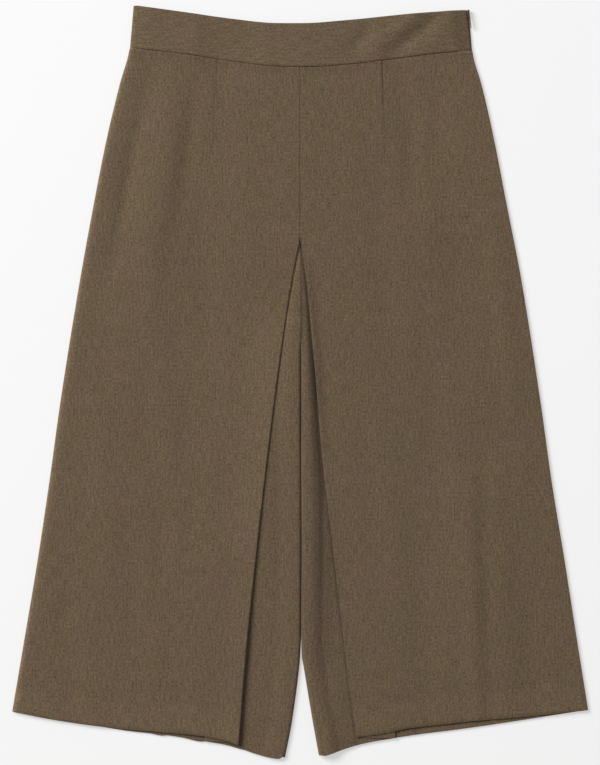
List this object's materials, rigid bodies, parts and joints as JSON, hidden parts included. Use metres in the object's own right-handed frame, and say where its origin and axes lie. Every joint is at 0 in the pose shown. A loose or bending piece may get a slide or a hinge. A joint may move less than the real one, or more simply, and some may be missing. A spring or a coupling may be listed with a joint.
{
  "type": "capri trousers",
  "caption": "Wide calf-length culottes laid flat, with an inverted centre-front pleat, a contoured waistband and a concealed side zip.",
  "frame": {"origin": "centre of the laid garment's box at the table, under the back panels", "axes": "+X to the wearer's left, +Y from the hems up to the waist, +Z off the table out of the front"},
  "size_m": [0.6047, 0.79, 0.0096],
  "materials": {
    "suiting": "matt olive-brown melange wool-blend suiting, fine lengthways streaks",
    "waistband_suiting": "the same suiting with its grain turned along the band",
    "zip_tape": "woven polyester zip tape",
    "zip_lacquer": "satin olive-brown lacquer"
  },
  "bodies": {
    "garment": {"front_leg_right": "suiting", "front_leg_left": "suiting", "back_leg_right": "suiting", "back_leg_left": "suiting", "waistband_front": "waistband_suiting", "waistband_back": "waistband_suiting", "zip_tape": "zip_tape", "zip_slider": "zip_lacquer"},
    "pull": {"zip_pull": "zip_lacquer"}
  },
  "joints": [
    {"name": "pull_swing", "type": "hinge", "parent": "garment", "child": "pull", "pos_m": [0.17716, 0.38972, 0.0037], "axis": [0, 0, 1], "range_deg": [0, 170]}
  ]
}
